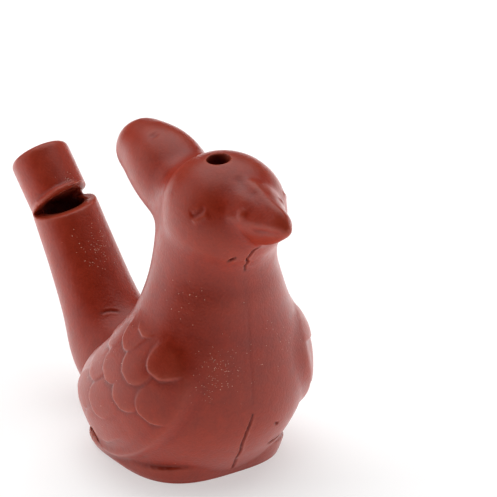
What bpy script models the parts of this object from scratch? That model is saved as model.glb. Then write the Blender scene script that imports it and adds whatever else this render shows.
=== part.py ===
"""Clay bird whistle: one slip-cast, hollow piece of red earthenware.

The bird faces +X, its left is +Y and it stands on z = 0. The tail is a pipe that
rises at the back and ends in a mouthpiece; the wedge cut between the two is the
whistle's window. Water goes in at the hole in the crown.
"""

import math

import bmesh
import bpy
import numpy as np
from mathutils import Matrix, Vector

MM = 0.001

# Overall sizes in mm: width of the belly, and how far back and up the tail pipe ends
BODY_WIDTH = 42.2
TAIL_REACH = 45.0
TAIL_RISE = 35.3

# Body and neck, as level sections: height, back, front, share of the width
BODY_SECTIONS = (
    (-4.0, -13.0, 15.0, 0.72),
    (0.0, -15.0, 16.6, 0.77),
    (3.5, -17.2, 19.0, 0.82),
    (7.0, -19.0, 21.5, 0.885),
    (11.5, -19.8, 23.8, 0.967),
    (16.5, -17.2, 24.9, 1.0),
    (22.0, -11.2, 24.8, 0.972),
    (28.0, -5.6, 24.0, 0.89),
    (34.0, -3.2, 23.2, 0.745),
    (40.0, -1.5, 22.7, 0.635),
    (46.0, -0.9, 21.9, 0.56),
    (52.0, 0.1, 22.2, 0.555),
)
BODY_SQUARENESS = 2.25

# Head: an egg shape, as centre and radii
HEAD_CENTRE = (13.9, 0.0, 55.9)
HEAD_RADII = (12.6, 12.4, 11.9)

# Crest: a thick lobe swept back from the head, as (x, z, radius)
CREST_LINE = (
    (8.0, 53.6, 8.0),
    (-1.0, 55.3, 7.9),
    (-7.0, 57.8, 7.8),
    (-11.2, 58.8, 7.0),
    (-13.8, 59.1, 6.2),
)

# Beak, as sections: x, height of its side edge, rise of the ridge, drop of the chin, half width
BEAK_SECTIONS = (
    (17.0, 60.0, 6.0, 7.5, 9.2),
    (24.0, 60.0, 5.4, 6.8, 6.5),
    (28.0, 60.0, 4.4, 6.0, 4.8),
    (31.5, 60.0, 3.8, 4.4, 3.2),
    (34.0, 60.0, 3.1, 2.7, 2.3),
    (35.6, 59.9, 1.9, 1.4, 1.3),
    (36.3, 59.9, 0.8, 0.6, 0.6),
)
BEAK_SQUARENESS = 1.6
NOSTRIL = (26.4, 3.3, 60.6)
NOSTRIL_RADIUS = 2.1

# Tail pipe, as (share of the reach, share of the rise, radius)
TAIL_LINE = (
    (0.222, 0.244, 9.2),
    (0.41, 0.268, 9.8),
    (0.51, 0.300, 10.0),
    (0.60, 0.375, 9.3),
    (0.698, 0.521, 8.05),
    (0.838, 0.748, 7.3),
    (1.0, 1.0, 6.8),
    (1.03, 1.04, 6.7),
)

# Foot: a band around the base, higher at the breast
FOOT_BACK = -18.0
FOOT_FRONT = 17.3
FOOT_HALF_WIDTH = 16.8
FOOT_HEIGHT = 2.2
FOOT_RISE = 2.2
FOOT_FLARE = 1.3
FOOT_SQUARENESS = 3.0

# Mouthpiece: a round stub on the end of the tail, bent a little outward
MOUTH_ELEVATION = 43.0
MOUTH_RADIUS = 6.2
MOUTH_LENGTH = 10.8
MOUTH_ROOT = 5.0
MOUTH_EDGE = 1.2
MOUTH_SHIFT = 1.4

# Window between tail and mouthpiece: a wedge from a hinge on the outer side
WINDOW_HINGE = (-2.7, -1.4)
WINDOW_LOW_SLOPE = 17.0
WINDOW_HIGH_SLOPE = 47.0
WINDOW_ROLL = 10.0

# Windway: the flat slot that the breath comes through
WINDWAY_HEIGHT = 1.3
WINDWAY_WIDTH = 6.0
WINDWAY_OFFSET = 2.2

# Walls of the hollow, and the hole punched in the crown
WALL = 3.0
TAIL_WALL = 2.3
FLOOR = 3.4
CROWN_HOLE = 4.7
CROWN_HOLE_AT = (14.0, -1.4)

# Wings: outline from the side as (x, z), how far they stand out and over what width
WING_OUTLINE = (
    (14.5, 34.0), (18.6, 31.6), (20.8, 28.0), (21.6, 23.0), (20.4, 17.8), (17.0, 12.5),
    (12.4, 8.1), (7.1, 4.6), (0.0, 1.8), (-8.0, 1.2), (-14.0, 3.4), (-18.0, 8.0),
    (-18.0, 14.0), (-13.0, 21.0), (-6.0, 28.0), (2.0, 33.5), (8.5, 35.0),
)
WING_RELIEF = 1.05
WING_EDGE = 2.4
WING_BACK = 24.0

# Feathers, upper rows first: tip as (x, z), turn towards the tail, width, length
FEATHERS = (
    (9.6, 32.0, 22.0, 7.6, 8.5), (6.0, 28.6, 33.0, 7.6, 8.5), (-0.6, 26.4, 36.0, 7.4, 8.5),
    (15.8, 25.8, 28.0, 8.4, 9.0), (9.8, 23.6, 33.0, 8.6, 9.5), (3.2, 21.6, 38.0, 8.2, 9.5),
    (-3.6, 19.6, 44.0, 7.8, 9.5),
    (14.4, 16.8, 38.0, 9.2, 10.0), (8.2, 17.6, 36.0, 8.0, 9.5), (-1.0, 13.8, 56.0, 8.2, 10.5),
    (-8.6, 12.6, 58.0, 8.0, 10.5),
    (-4.2, 7.4, 60.0, 8.4, 14.0), (-12.6, 6.6, 66.0, 7.6, 11.0),
)
FEATHER_THICK = 0.8
FEATHER_EDGE = 0.6

# Shut eyes and the line of the mouth, as (x, z) from the side; depth and width of a crease
EYE_LINE = ((16.2, 59.0), (17.9, 59.0), (19.3, 59.8), (20.3, 60.8), (21.0, 61.9))
MOUTH_LINE = ((26.0, 58.2), (29.0, 58.5), (32.0, 59.0), (34.6, 59.5), (36.2, 59.9))
CREASE_DEPTH = 0.45
CREASE_WIDTH = 0.55
LID_RISE = 0.35

# Brow: a groove beside the seam, from the crown to the beak, as (x, y) from above
BROW_LINE = ((19.0, -1.6), (22.0, -1.7), (25.0, -1.7), (28.0, -1.6))
BROW_WIDTH = 0.9

SKIN_VOXEL = 0.6
SKIN_SMOOTH = 40
RELIEF_VOXEL = 0.42
RELIEF_SMOOTH = 5
OUTER_TRIANGLES = 8400
INNER_TRIANGLES = 1300

# Where the tail pipe ends, and the mouthpiece's axis
tail_end = Vector((-TAIL_REACH, 0, TAIL_RISE))
mouth_angle = math.radians(MOUTH_ELEVATION)
mouth_way = Vector((-math.cos(mouth_angle), 0, math.sin(mouth_angle)))
mouth_rise = Vector((mouth_way.z, 0, -mouth_way.x))
mouth_start = tail_end + Vector((-MOUTH_SHIFT, 0, 0.3))
window_hinge = tail_end + Vector((WINDOW_HINGE[0], 0, WINDOW_HINGE[1]))


def clear_scene():
    for item in list(bpy.data.objects):
        bpy.data.objects.remove(item)


def collection(name):
    made = bpy.data.collections.new(name)
    bpy.context.scene.collection.children.link(made)
    return made


def add(name, data, home):
    made = bpy.data.objects.new(name, data)
    home.objects.link(made)
    return made


def applied(item):
    """A mesh object in place of an item with modifiers, or of a curve."""
    bpy.context.view_layer.update()
    graph = bpy.context.evaluated_depsgraph_get()
    mesh = bpy.data.meshes.new_from_object(item.evaluated_get(graph))
    mesh.transform(item.matrix_world)
    made = add(item.name, mesh, item.users_collection[0])
    name = item.name
    bpy.data.objects.remove(item)
    made.name = name
    return made


def spline(rows, steps):
    """Points on a Catmull-Rom curve through the rows."""
    rows = np.array(rows, dtype=float)
    ends = np.vstack((2 * rows[0] - rows[1], rows, 2 * rows[-1] - rows[-2]))
    out = []
    for i in range(1, len(ends) - 2):
        a, b, c, d = ends[i - 1:i + 3]
        for k in range(steps):
            t = k / steps
            out.append(0.5 * (2 * b + (c - a) * t + (2 * a - 5 * b + 4 * c - d) * t ** 2
                              + (3 * b - a - 3 * c + d) * t ** 3))
    out.append(ends[-2])
    return np.array(out)


def oval(half_x, half_y, squareness=2.0, count=64):
    """Points of a superellipse in the plane."""
    power = 2 / squareness
    out = []
    for i in range(count):
        c, s = math.cos(math.tau * i / count), math.sin(math.tau * i / count)
        out.append((half_x * math.copysign(abs(c) ** power, c),
                    half_y * math.copysign(abs(s) ** power, s)))
    return out


def loft(name, rings, home):
    """A closed solid through rings of equal count."""
    built = bmesh.new()
    loops = [[built.verts.new(Vector(p) * MM) for p in ring] for ring in rings]
    count = len(loops[0])
    for low, high in zip(loops, loops[1:]):
        for i in range(count):
            j = (i + 1) % count
            built.faces.new((low[i], low[j], high[j], high[i]))
    built.faces.new(loops[0][::-1])
    built.faces.new(loops[-1])
    bmesh.ops.recalc_face_normals(built, faces=built.faces)
    return from_bmesh(name, built, home)


def from_bmesh(name, built, home):
    mesh = bpy.data.meshes.new(name)
    built.to_mesh(mesh)
    built.free()
    return add(name, mesh, home)


def ball(name, centre, radii, home):
    built = bmesh.new()
    size = Matrix.Diagonal(Vector(radii) * MM).to_4x4()
    bmesh.ops.create_uvsphere(built, u_segments=48, v_segments=32, radius=1,
                              matrix=Matrix.Translation(Vector(centre) * MM) @ size)
    return from_bmesh(name, built, home)


def box(name, centre, sides, home, turn=None):
    built = bmesh.new()
    place = Matrix.Translation(Vector(centre) * MM) @ (turn or Matrix()).to_4x4()
    size = Matrix.Diagonal(Vector(sides) * MM).to_4x4()
    bmesh.ops.create_cube(built, size=1, matrix=place @ size)
    return from_bmesh(name, built, home)


def pipe(name, line, home, inset=0.0):
    """A round pipe with a changing radius, along a line of (x, z, radius)."""
    route = bpy.data.curves.new(name, "CURVE")
    route.dimensions = "3D"
    route.bevel_depth = MM
    route.bevel_resolution = 10
    route.use_fill_caps = True
    points = spline(line, 5)
    run = route.splines.new("POLY")
    run.points.add(len(points) - 1)
    for point, (x, z, radius) in zip(run.points, points):
        point.co = (x * MM, 0, z * MM, 1)
        point.radius = radius - inset
    tube = applied(add(name, route, home))
    welded = bmesh.new()
    welded.from_mesh(tube.data)
    bmesh.ops.remove_doubles(welded, verts=welded.verts, dist=1e-6)
    welded.to_mesh(tube.data)
    welded.free()
    return tube


def prism(name, outline, half_width, home):
    """A solid with its outline in the plane of symmetry, as (x, z)."""
    flat = bpy.data.curves.new(name, "CURVE")
    flat.dimensions = "2D"
    flat.fill_mode = "BOTH"
    flat.extrude = half_width * MM
    edge = flat.splines.new("POLY")
    edge.points.add(len(outline) - 1)
    edge.use_cyclic_u = True
    for point, (x, z) in zip(edge.points, outline):
        point.co = (x * MM, z * MM, 0, 1)
    made = add(name, flat, home)
    made.rotation_euler = (math.radians(90), 0, 0)
    solid = applied(made)
    welded = bmesh.new()
    welded.from_mesh(solid.data)
    bmesh.ops.remove_doubles(welded, verts=welded.verts, dist=1e-6)
    bmesh.ops.recalc_face_normals(welded, faces=welded.faces)
    welded.to_mesh(solid.data)
    welded.free()
    return solid


def joined(name, items, home):
    """One mesh object that holds all the items' shapes, overlapping."""
    whole = bmesh.new()
    for item in items:
        item.data.transform(item.matrix_world)
        whole.from_mesh(item.data)
        bpy.data.objects.remove(item)
    return from_bmesh(name, whole, home)


def blended(item, voxel, rounds):
    """Melt overlapping shapes into one skin with soft joints."""
    remesh = item.modifiers.new("Skin", "REMESH")
    remesh.mode = "VOXEL"
    remesh.voxel_size = voxel * MM
    smooth = item.modifiers.new("Soften", "SMOOTH")
    smooth.factor = 0.5
    smooth.iterations = round(rounds)
    return applied(item)


def thinned(item, triangles):
    """Bring the mesh down to a count of triangles."""
    now = sum(len(face.vertices) - 2 for face in item.data.polygons)
    fewer = item.modifiers.new("Fewer", "DECIMATE")
    fewer.ratio = triangles / now
    return applied(item)


def boolean(item, other, way="DIFFERENCE"):
    cut = item.modifiers.new(other.name, "BOOLEAN")
    cut.operation = way
    cut.solver = "EXACT"
    cut.object = other
    other.hide_render = True
    other.display_type = "WIRE"
    return cut


def body(home, inset=0.0):
    """Belly, breast and neck: level ovals stacked up; the hollow starts at the floor."""
    rings = []
    for z, back, front, share in spline(BODY_SECTIONS, 4):
        if inset > 0 and z < FLOOR:
            continue
        mid, half = (back + front) / 2, share * BODY_WIDTH / 2
        rings.append([(mid + x, y, z) for x, y in
                      oval((front - back) / 2 - inset, half - inset, BODY_SQUARENESS)])
    return loft("body", rings, home)


def beak(home):
    """A beak with a ridge on top and an edge along each side."""
    rings = []
    for x, z, ridge, chin, half in spline(BEAK_SECTIONS, 3):
        rings.append([(x, a, z + (b * ridge if b > 0 else b * chin))
                      for a, b in oval(half, 1.0, BEAK_SQUARENESS, 32)])
    return loft("beak", rings, home)


def form(name, home, inset=0.0, tail_inset=0.0):
    """Body, head, crest and tail as one blended form; the hollow is the same, inset."""
    end_x, end_z, end_radius = CREST_LINE[-1]
    tail = [(-TAIL_REACH * x, TAIL_RISE * z, radius) for x, z, radius in TAIL_LINE]
    parts = [
        body(home, inset),
        ball("head", HEAD_CENTRE, [radius - inset for radius in HEAD_RADII], home),
        pipe("crest", CREST_LINE, home, inset),
        ball("crest_end", (end_x, 0, end_z), [end_radius - inset] * 3, home),
        pipe("tail", tail, home, tail_inset),
    ]
    if inset == 0:
        parts.append(beak(home))
    return blended(joined(name, parts, home), SKIN_VOXEL, SKIN_SMOOTH)


def foot(home):
    """The band around the base, its top edge rising to the breast."""
    mid, half = (FOOT_FRONT + FOOT_BACK) / 2, (FOOT_FRONT - FOOT_BACK) / 2
    rings = []
    for level, grow in ((-1.0, -0.4), (0.0, -0.3), (0.2, 0.0), (1.0, 1.0), (1.1, -1.5)):
        ring = []
        for x, y in oval(1.0, 1.0, FOOT_SQUARENESS):
            rise = max(x, 0.0) ** 2
            top = FOOT_HEIGHT + FOOT_RISE * rise
            out = grow * FOOT_FLARE * (rise if grow == 1.0 else 1.0)
            ring.append((mid + x * (half + out), y * (FOOT_HALF_WIDTH + out), level * top))
        rings.append(ring)
    return loft("foot", rings, home)


def mouthpiece(home):
    """A turned stub, its blowing end rounded over."""
    edge = MOUTH_EDGE
    profile = [(0.0, MOUTH_LENGTH), (MOUTH_RADIUS - edge, MOUTH_LENGTH)]
    for i in range(1, 5):
        turn = math.radians(90 * i / 4)
        profile.append((MOUTH_RADIUS - edge + edge * math.sin(turn),
                        MOUTH_LENGTH - edge + edge * math.cos(turn)))
    profile += [(MOUTH_RADIUS, 0.0), (MOUTH_RADIUS - 0.5, -MOUTH_ROOT), (0.0, -MOUTH_ROOT)]
    built = bmesh.new()
    corners = [built.verts.new(Vector((x, 0, z)) * MM) for x, z in profile]
    for low, high in zip(corners, corners[1:]):
        built.edges.new((low, high))
    stub = from_bmesh("mouthpiece", built, home)
    turned = stub.modifiers.new("Turn", "SCREW")
    turned.steps = turned.render_steps = 48
    turned.use_merge_vertices = True
    turned.merge_threshold = 1e-6
    stub.matrix_world = (Matrix.Translation(mouth_start * MM)
                         @ mouth_way.to_track_quat("Z", "Y").to_matrix().to_4x4())
    return applied(stub)


def window(home):
    """The wedge between mouthpiece and tail, rolled a little as a hand cuts it."""
    reach = 4 * MOUTH_RADIUS
    low, high = math.radians(WINDOW_LOW_SLOPE), math.radians(WINDOW_HIGH_SLOPE)
    outline = [(0, 0), (reach * math.cos(low), reach * math.sin(low)),
               (reach * math.cos(high), reach * math.sin(high))]
    wedge = prism("window", outline, 2 * MOUTH_RADIUS, home)
    wedge.data.transform(Matrix.Translation(window_hinge * MM)
                         @ Matrix.Rotation(math.radians(WINDOW_ROLL), 4, "X"))
    return wedge


def windway(home):
    """The slot along the mouthpiece, from its end to the window."""
    length = MOUTH_LENGTH + MOUTH_ROOT
    middle = mouth_start + mouth_rise * WINDWAY_OFFSET + mouth_way * (length / 2 - 1.0)
    turn = Matrix((mouth_way, Vector((0, -1, 0)), mouth_rise)).transposed()
    return box("windway", middle, (length, WINDWAY_WIDTH, WINDWAY_HEIGHT), home, turn)


def crown_hole(home):
    """The hole punched straight down through the crown."""
    x, y = CROWN_HOLE_AT
    depth = 4 * WALL
    built = bmesh.new()
    top = HEAD_CENTRE[2] + HEAD_RADII[2]
    bmesh.ops.create_cone(built, cap_ends=True, segments=32, radius1=CROWN_HOLE / 2 * MM,
                          radius2=CROWN_HOLE / 2 * MM, depth=depth * MM,
                          matrix=Matrix.Translation(Vector((x, y, top)) * MM))
    return from_bmesh("crown_hole", built, home)


def smooth_step(value):
    value = np.clip(value, 0.0, 1.0)
    return value * value * (3 - 2 * value)


def from_line(points, line):
    """Distance of each point from a line, and its side: plus above the line."""
    nearest = np.full(len(points), np.inf)
    side = np.zeros(len(points))
    for start, end in zip(line, line[1:]):
        run = end - start
        share = np.clip(((points - start) @ run) / (run @ run), 0, 1)
        off = points - start - share[:, None] * run
        distance = np.hypot(off[:, 0], off[:, 1])
        nearer = distance < nearest
        nearest[nearer] = distance[nearer]
        side[nearer] = np.sign(run[0] * off[:, 1] - run[1] * off[:, 0])[nearer]
    return nearest, side


def wing_height(points):
    """Raised ground of the wing, soft along its edge, with its scale feathers."""
    outline = spline(WING_OUTLINE + WING_OUTLINE[:1], 3)
    away, _ = from_line(points, outline)
    inside = np.zeros(len(points), dtype=bool)
    for start, end in zip(outline, outline[1:]):
        crosses = (start[1] > points[:, 1]) != (end[1] > points[:, 1])
        rise = end[1] - start[1] if end[1] != start[1] else 1.0
        at = start[0] + (points[:, 1] - start[1]) * (end[0] - start[0]) / rise
        inside ^= crosses & (points[:, 0] < at)
    signed = np.where(inside, away, -away)
    raised = WING_RELIEF * smooth_step((signed + WING_EDGE / 2) / WING_EDGE)
    return raised + feather_height(points) * smooth_step(signed / WING_EDGE - 0.2)


def feather_height(points):
    """Scale feathers: each is thickest at its tip and sinks in under the row above."""
    height = np.zeros(len(points))
    for x, z, lean, width, length in FEATHERS:
        turn = math.radians(lean)
        down = np.array((-math.sin(turn), -math.cos(turn)))
        off = points - (x, z)
        along, aside = -(off @ down), np.abs(off @ (-down[1], down[0]))
        round_end = np.clip(1 - 2 * along / width, 0, 1)
        edge = width / 2 * np.sqrt(1 - round_end ** 2) - aside
        edge = np.minimum(edge, along * 1.5)
        fall = np.clip(1 - along / length, 0, 1)
        height = np.maximum(height, FEATHER_THICK * fall * smooth_step(edge / FEATHER_EDGE))
    return height


def crease(points, line, width=CREASE_WIDTH, lid=0.0):
    """A pressed line, with a roll of clay along its lower side."""
    away, side = from_line(points, spline(line, 5))
    roll = np.exp(-((away * -side - 2 * width) / width) ** 2)
    return lid * roll - CREASE_DEPTH * np.exp(-(away / width) ** 2)


def carve(item):
    """Raise wings and feathers and press in the creases, along each point's normal."""
    mesh = item.data
    spots = np.empty(len(mesh.vertices) * 3)
    normals = np.empty(len(mesh.vertices) * 3)
    mesh.vertices.foreach_get("co", spots)
    mesh.vertices.foreach_get("normal", normals)
    spots, normals = spots.reshape(-1, 3) / MM, normals.reshape(-1, 3)
    from_side, from_above = spots[:, (0, 2)], spots[:, (0, 1)]
    flank = smooth_step((np.abs(normals[:, 1]) - 0.15) / 0.25)
    chin = HEAD_CENTRE[2] - HEAD_RADII[2]
    off_tail = smooth_step((spots[:, 0] + WING_BACK) / WING_EDGE)
    wing = wing_height(from_side)
    face = crease(from_side, EYE_LINE, CREASE_WIDTH, LID_RISE) + crease(from_side, MOUTH_LINE)
    height = np.where(spots[:, 2] < chin, wing * off_tail, face) * flank
    brow = crease(from_above, BROW_LINE, BROW_WIDTH)
    height += brow * (spots[:, 2] > HEAD_CENTRE[2]) * (normals[:, 2] > 0.3)
    mesh.vertices.foreach_set("co", ((spots + normals * height[:, None]) * MM).ravel())
    mesh.update()


def clay():
    made = bpy.data.materials.new("red_clay")
    made.use_nodes = True
    shader = made.node_tree.nodes["Principled BSDF"]
    shader.inputs["Base Color"].default_value = (0.26, 0.068, 0.040, 1)
    shader.inputs["Roughness"].default_value = 0.55
    shader.inputs["Metallic"].default_value = 0.0
    return made


def main():
    clear_scene()
    home = collection("bird_whistle")
    cutters = collection("cutters")

    x, y, z = NOSTRIL
    layers = [form("form", cutters), foot(cutters), beak(cutters), mouthpiece(cutters)]
    layers += [ball("nostril", (x, side * y, z), [NOSTRIL_RADIUS] * 3, cutters)
               for side in (-1, 1)]
    bird = blended(joined("clay_body", layers, home), RELIEF_VOXEL, 0)
    wedge = window(cutters)
    boolean(bird, wedge)
    bird = applied(bird)
    bpy.data.objects.remove(wedge)
    bird = blended(bird, RELIEF_VOXEL, RELIEF_SMOOTH)
    carve(bird)
    bird = thinned(bird, OUTER_TRIANGLES)

    span = 2 * (TAIL_REACH + BODY_WIDTH)
    boolean(bird, thinned(form("hollow", cutters, WALL, TAIL_WALL), INNER_TRIANGLES))
    boolean(bird, crown_hole(cutters))
    boolean(bird, windway(cutters))
    boolean(bird, box("ground", (0, 0, -span / 2), (span, span, span), cutters))
    bird.data.materials.clear()
    bird.data.materials.append(clay())
    for face in bird.data.polygons:
        face.use_smooth = True


main()
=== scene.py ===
# %% [markdown]
# # A clay bird whistle
# The object is a small bird of unglazed red earthenware. It was cast in a two-part mould, so it
# is one hollow piece, and its maker then cut the whistle's window by hand. This notebook builds
# its visible skin finer than a machine model needs it, gives it the look of fired clay, and sets
# it on a white table. First the measured frame of the object is loaded.

import math

import bmesh
import bpy
import numpy as np
from mathutils import Matrix, Vector
from mathutils.bvhtree import BVHTree


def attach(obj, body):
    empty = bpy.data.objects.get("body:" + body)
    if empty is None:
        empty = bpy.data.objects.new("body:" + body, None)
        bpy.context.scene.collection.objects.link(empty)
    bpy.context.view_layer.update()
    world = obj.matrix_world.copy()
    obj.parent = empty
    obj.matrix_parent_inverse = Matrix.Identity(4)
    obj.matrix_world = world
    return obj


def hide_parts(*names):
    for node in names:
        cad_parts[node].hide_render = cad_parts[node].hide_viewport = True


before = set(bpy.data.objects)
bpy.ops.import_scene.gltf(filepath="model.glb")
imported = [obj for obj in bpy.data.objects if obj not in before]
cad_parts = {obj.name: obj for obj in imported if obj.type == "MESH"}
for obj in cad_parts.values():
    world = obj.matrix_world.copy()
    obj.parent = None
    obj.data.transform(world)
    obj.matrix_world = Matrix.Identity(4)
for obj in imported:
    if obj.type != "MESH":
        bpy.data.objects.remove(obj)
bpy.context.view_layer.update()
MM = 0.001

# %% [markdown]
# ## The camera
# The view was solved from two round things: the foot, whose outline is a known oval from above,
# and the hole in the crown. Both say that the camera looks down by 25 degrees, and the seam on
# the breast says that the bird is turned 56 degrees towards it. A long lens keeps the small
# perspective that such a close-up has.

# %% Camera
AZIMUTH, ELEVATION = math.radians(56.0), math.radians(25.0)
DISTANCE = 1.2
PIXELS = 497
PIXELS_PER_METRE = 5000.0
FOOT_PIXEL = (186.0, 441.0)

right = Vector((math.cos(AZIMUTH), math.sin(AZIMUTH), 0))
back = Vector((math.sin(AZIMUTH) * math.cos(ELEVATION),
               -math.cos(AZIMUTH) * math.cos(ELEVATION), math.sin(ELEVATION)))
upward = back.cross(right)
aim = (right * ((PIXELS / 2 - FOOT_PIXEL[0]) / PIXELS_PER_METRE)
       + upward * ((FOOT_PIXEL[1] - PIXELS / 2) / PIXELS_PER_METRE))
camera = bpy.data.objects.new("camera", bpy.data.cameras.new("camera"))
bpy.context.scene.collection.objects.link(camera)
pose = Matrix((right, upward, back)).transposed().to_4x4()
pose.translation = aim + back * DISTANCE
camera.matrix_world = pose
camera.data.sensor_width = 36
camera.data.lens = PIXELS_PER_METRE * DISTANCE * camera.data.sensor_width / PIXELS
camera.data.clip_start = 0.01
bpy.context.scene.camera = camera
bpy.context.scene.view_settings.view_transform = "Standard"
print("lens in mm:", round(camera.data.lens))

# %% [markdown]
# ## Shader maths as plain expressions
# A node tree is easier to read as a formula. The class wraps one output socket, so that a sum of
# two of them adds a Math node. Every other node comes from make_node, which sets the node's own
# settings first and then fills its inputs with plain values or links.

# %% Shader helper
class Field:
    """One output socket of a node tree, with arithmetic."""

    def __init__(self, tree, socket):
        self.tree, self.socket = tree, socket

    def maths(self, operation, *values):
        made = self.tree.nodes.new("ShaderNodeMath")
        made.operation = operation
        for i, value in enumerate(values):
            feed(self.tree, made.inputs[i], value)
        return Field(self.tree, made.outputs[0])

    def __add__(self, other):
        return self.maths("ADD", self, other)

    def __radd__(self, other):
        return self.maths("ADD", other, self)

    def __sub__(self, other):
        return self.maths("SUBTRACT", self, other)

    def __rsub__(self, other):
        return self.maths("SUBTRACT", other, self)

    def __mul__(self, other):
        return self.maths("MULTIPLY", self, other)

    def __rmul__(self, other):
        return self.maths("MULTIPLY", other, self)

    def __abs__(self):
        return self.maths("ABSOLUTE", self)

    def clipped(self):
        return self.maths("MAXIMUM", self.maths("MINIMUM", self, 1.0), 0.0)


def feed(tree, socket, value):
    """Link a field to a socket, or set the socket's own value."""
    if isinstance(value, Field):
        tree.links.new(value.socket, socket)
    else:
        socket.default_value = value


def make_node(tree, kind, settings=None, output=0, **values):
    """Any node: settings first, then inputs, by name with _ for a space or as i0, i1 and so on."""
    made = tree.nodes.new(kind)
    for name, value in (settings or {}).items():
        setattr(made, name, value)
    for name, value in values.items():
        numbered = name[0] == "i" and name[1:].isdigit()
        feed(tree, made.inputs[int(name[1:]) if numbered else name.replace("_", " ")], value)
    return Field(tree, made.outputs[output])


def new_material(name):
    """A material with its node tree and its Principled shader."""
    made = bpy.data.materials.new(name)
    made.use_nodes = True
    return made, made.node_tree, made.node_tree.nodes["Principled BSDF"]


def grey(amount):
    """A colour without hue."""
    return (amount, amount, amount, 1)


# %% [markdown]
# ## Table and light
# The light reads as a white sheet that also lets light through from below and from behind, a
# light box at each side, one above and behind, and little from the front: the belly is paler
# below than at its middle. One floor can play both parts. The camera sees a white sheet with the
# bird's shadow on it, and every other ray finds a sheet that glows, more at the sides and behind
# than in front. The world is white to the camera and dim for the clay.

# %% Floor and world
FLOOR_SIZE = 1.6
FLOOR_SEEN, FLOOR_WHITE, FLOOR_BOUNCE = 0.50, 0.50, 0.70
GLOW_FRONT, GLOW_SIDES = 0.95, 2.10
GLOW_START, GLOW_ASIDE, GLOW_BEHIND = 0.15, 9.0, 4.0
WORLD_LIGHT = 0.04


def for_camera(tree, seen, unseen):
    """One shader for what the camera sees and another for all other rays."""
    camera_ray = make_node(tree, "ShaderNodeLightPath", output="Is Camera Ray")
    return make_node(tree, "ShaderNodeMixShader", None, i0=camera_ray, i1=unseen, i2=seen)


def lit_sheet(tree, bounce, under):
    """A sheet that scatters the lamps' light and lets some through from below."""
    scatter = make_node(tree, "ShaderNodeBsdfDiffuse", None, Color=grey(bounce))
    through = make_node(tree, "ShaderNodeEmission", None, Color=under)
    return make_node(tree, "ShaderNodeAddShader", None, i0=scatter, i1=through)


def distance_along(tree, way):
    """How far a point of the floor lies in a level direction, in metres."""
    point = make_node(tree, "ShaderNodeTexCoord", output="Object")
    return make_node(tree, "ShaderNodeVectorMath", {"operation": "DOT_PRODUCT"}, output="Value",
                     i0=point, i1=way)


sheet = bmesh.new()
bmesh.ops.create_grid(sheet, x_segments=1, y_segments=1, size=FLOOR_SIZE)
floor_mesh = bpy.data.meshes.new("floor")
sheet.to_mesh(floor_mesh)
sheet.free()
floor = bpy.data.objects.new("floor", floor_mesh)
bpy.context.scene.collection.objects.link(floor)

paper = bpy.data.materials.new("white_sheet")
paper.use_nodes = True
paper_tree = paper.node_tree
paper_tree.nodes.remove(paper_tree.nodes["Principled BSDF"])
aside = abs(distance_along(paper_tree, right))
forward = distance_along(paper_tree, (back.x, back.y, 0))
outward = (aside * GLOW_ASIDE - forward * GLOW_BEHIND - GLOW_START).clipped()
glow = outward * (GLOW_SIDES - GLOW_FRONT) + GLOW_FRONT
feed(paper_tree, paper_tree.nodes["Material Output"].inputs["Surface"],
     for_camera(paper_tree, lit_sheet(paper_tree, FLOOR_SEEN, grey(FLOOR_WHITE)),
                lit_sheet(paper_tree, FLOOR_BOUNCE, glow)))
floor_mesh.materials.append(paper)

world = bpy.data.worlds.new("tent")
bpy.context.scene.world = world
world.use_nodes = True
sky = world.node_tree
feed(sky, sky.nodes["World Output"].inputs["Surface"],
     for_camera(sky, make_node(sky, "ShaderNodeBackground", None, Color=grey(1.0), Strength=1.0),
                make_node(sky, "ShaderNodeBackground", None, Color=grey(1.0),
                          Strength=WORLD_LIGHT)))
print("floor side in m:", 2 * FLOOR_SIZE)


# %% Lamps
LAMP_AIM = Vector((0, 0, 0.035))
LAMPS = (
    # name, place as (right, height, towards the camera), size, watts
    ("left_box", (-0.60, 0.22, -0.08), (0.50, 0.60), 1.9),
    ("right_box", (0.60, 0.06, -0.20), (0.50, 0.50), 2.1),
    ("top_box", (0.00, 0.74, -0.30), (1.10, 0.90), 9.6),
)


def softbox(name, place, size, power):
    """An area light aimed at the bird's middle."""
    side, height, near = place
    spot = right * side + Vector((0, 0, 1)) * height + Vector((back.x, back.y, 0)) * near
    lamp = bpy.data.objects.new(name, bpy.data.lights.new(name, "AREA"))
    lamp.data.shape = "RECTANGLE"
    lamp.data.size, lamp.data.size_y = size
    lamp.data.energy = power
    lamp.matrix_world = (spot - LAMP_AIM).to_track_quat("Z", "Y").to_matrix().to_4x4()
    lamp.location = spot
    bpy.context.scene.collection.objects.link(lamp)
    print(name, "watts:", power)


for lamp_name, lamp_place, lamp_size, lamp_power in LAMPS:
    softbox(lamp_name, lamp_place, lamp_size, lamp_power)

# %% [markdown]
# ## Sizes of the bird
# The body was measured as a stack of level ovals, each with its height, back, front and share of
# the width, in millimetres. Crest, beak and tail are lines of circles and ovals in the plane of
# symmetry. Wings, feathers, eyes and mouth are drawn from the side.

# %% Sizes
# Overall sizes in mm: width of the belly, and how far back and up the tail pipe ends
BODY_WIDTH = 42.2
TAIL_REACH = 45.0
TAIL_RISE = 35.3

# Body and neck, as level sections: height, back, front, share of the width
BODY_SECTIONS = (
    (-4.0, -13.0, 15.0, 0.72),
    (0.0, -15.0, 16.6, 0.77),
    (3.5, -17.2, 19.0, 0.82),
    (7.0, -19.0, 21.5, 0.885),
    (11.5, -19.8, 23.8, 0.967),
    (16.5, -17.2, 24.9, 1.0),
    (22.0, -11.2, 24.8, 0.972),
    (28.0, -5.6, 24.0, 0.89),
    (34.0, -3.2, 23.2, 0.745),
    (40.0, -1.5, 22.7, 0.635),
    (46.0, -0.9, 21.9, 0.56),
    (52.0, 0.1, 22.2, 0.555),
)
BODY_SQUARENESS = 2.25

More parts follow.
